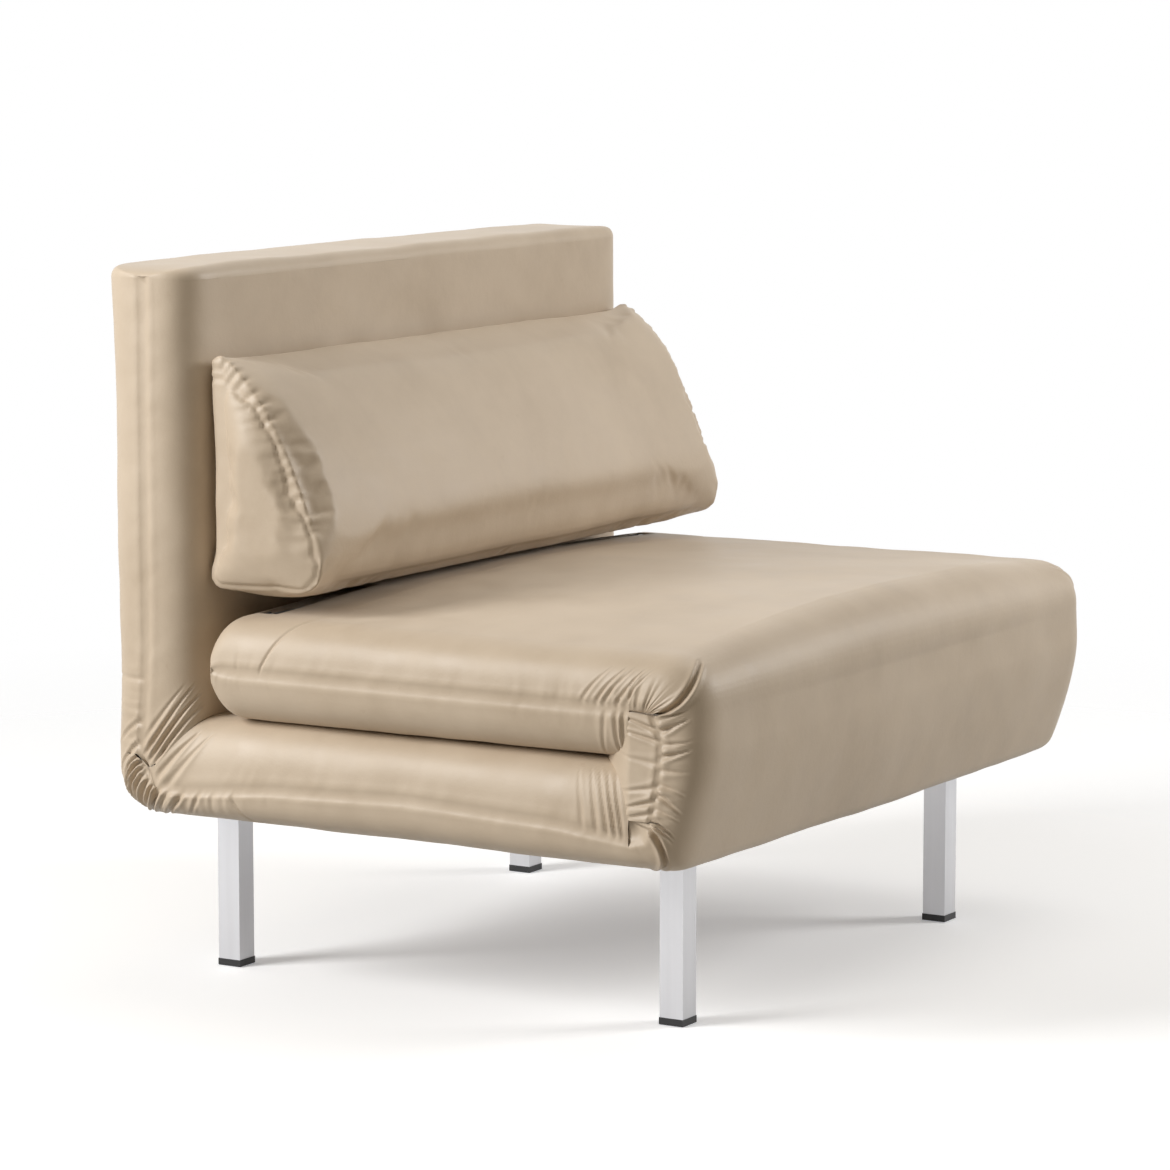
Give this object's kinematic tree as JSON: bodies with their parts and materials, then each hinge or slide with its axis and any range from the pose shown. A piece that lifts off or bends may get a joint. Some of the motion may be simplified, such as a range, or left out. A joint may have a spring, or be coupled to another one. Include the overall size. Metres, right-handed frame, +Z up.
{
  "type": "chair bed",
  "caption": "Low armless upholstered chair whose seat turns over and back reclines to make a single bed on drop legs, with a loose lumbar pillow.",
  "frame": {"origin": "on the floor under the middle of the chair's own box, as a chair", "axes": "+X to the right across the chair, -Y is the way the seat faces, +Z up"},
  "size_m": [0.99, 0.816, 0.838],
  "materials": {
    "cover_fabric": "soft beige faux-suede with a satin sheen",
    "foam": "open-cell foam",
    "beech_slat": "sealed beech plywood",
    "holder_plastic": "black moulded",
    "glide_plastic": "black moulded",
    "satin_steel": "satin silver",
    "zinc_fastener": "zinc plated",
    "spring_steel": "blued spring steel",
    "frame_steel": "black powder coat"
  },
  "bodies": {
    "base": {"base_side_rails": "frame_steel", "base_cross_rails": "frame_steel", "base_slats": "beech_slat", "base_slat_holders": "holder_plastic", "leg_front_left": "satin_steel", "leg_front_right": "satin_steel", "leg_rear_left": "satin_steel", "leg_rear_right": "satin_steel", "leg_glides": "glide_plastic", "leg_mounting_plates": "frame_steel", "leg_bolts": "zinc_fastener", "base_foam_upper": "foam", "base_cover_upper": "cover_fabric", "base_foam_lower": "foam", "base_cover_lower": "cover_fabric", "fold_base_brackets": "frame_steel", "front_foam_lower": "foam", "front_cover_lower": "cover_fabric", "back_hinge_base_leaves": "frame_steel", "back_hinge_pins": "zinc_fastener", "detent_springs": "spring_steel", "rear_corner_foam": "foam", "rear_corner_cover": "cover_fabric"},
    "link": {"fold_link_plates": "frame_steel", "fold_pins": "zinc_fastener", "fold_tie_bar": "frame_steel", "fold_core_foam": "foam", "fold_core_cover": "cover_fabric"},
    "seat": {"seat_side_rails": "frame_steel", "seat_cross_rails": "frame_steel", "seat_slats": "beech_slat", "seat_slat_holders": "holder_plastic", "seat_foam_upper": "foam", "seat_cover_upper": "cover_fabric", "seat_foam_lower": "foam", "seat_cover_lower": "cover_fabric", "fold_seat_brackets": "frame_steel", "front_foam_upper": "foam", "front_cover_upper": "cover_fabric", "foot_leg_brackets": "frame_steel", "foot_leg_pins": "zinc_fastener"},
    "foot_leg_left": {"foot_leg_left": "satin_steel", "foot_glide_left": "glide_plastic"},
    "foot_leg_right": {"foot_leg_right": "satin_steel", "foot_glide_right": "glide_plastic"},
    "back": {"back_side_rails": "frame_steel", "back_cross_rails": "frame_steel", "back_slats": "beech_slat", "back_slat_holders": "holder_plastic", "back_foam_front": "foam", "back_cover_front": "cover_fabric", "back_foam_rear": "foam", "back_cover_rear": "cover_fabric", "back_hinge_leaves": "frame_steel", "head_leg_brackets": "frame_steel", "head_leg_pins": "zinc_fastener"},
    "head_leg": {"head_leg": "satin_steel", "head_leg_glides": "glide_plastic"},
    "pillow": {"lumbar_pillow_fill": "foam", "lumbar_pillow_cover": "cover_fabric"}
  },
  "joints": [
    {"name": "fold_lower_hinge", "type": "hinge", "parent": "base", "child": "link", "pos_m": [0, -0.319, 0.261], "axis": [1, 0, 0], "range_deg": [0, 90], "deforming": ["front_foam_lower", "front_cover_lower", "lumbar_pillow_fill", "lumbar_pillow_cover"]},
    {"name": "fold_upper_hinge", "type": "hinge", "parent": "link", "child": "seat", "pos_m": [0, -0.319, 0.3813], "axis": [1, 0, 0], "range_deg": [0, 90], "deforming": ["front_foam_upper", "front_cover_upper"]},
    {"name": "foot_leg_left_hinge", "type": "hinge", "parent": "seat", "child": "foot_leg_left", "pos_m": [-0.42, 0.195, 0.4303], "axis": [0, -1, 0], "range_deg": [0, 90]},
    {"name": "foot_leg_right_hinge", "type": "hinge", "parent": "seat", "child": "foot_leg_right", "pos_m": [0.42, 0.195, 0.4303], "axis": [0, 1, 0], "range_deg": [0, 90]},
    {"name": "back_recline", "type": "hinge", "parent": "base", "child": "back", "pos_m": [0, 0.32, 0.261], "axis": [-1, 0, 0], "range_deg": [0, 90], "deforming": ["rear_corner_foam", "rear_corner_cover", "detent_springs"]},
    {"name": "head_leg_hinge", "type": "hinge", "parent": "back", "child": "head_leg", "pos_m": [0, 0.395, 0.7], "axis": [1, 0, 0], "range_deg": [0, 90]},
    {"name": "pillow_lift", "type": "slide", "parent": "back", "child": "pillow", "axis": [0, 0, 1], "range_m": [0, 0.35]}
  ],
  "couplings": [
    {"joint": "fold_upper_hinge", "follows": "fold_lower_hinge", "ratio": 1},
    {"joint": "foot_leg_left_hinge", "follows": "fold_lower_hinge", "ratio": 1},
    {"joint": "foot_leg_right_hinge", "follows": "fold_lower_hinge", "ratio": 1},
    {"joint": "head_leg_hinge", "follows": "back_recline", "ratio": 1}
  ]
}
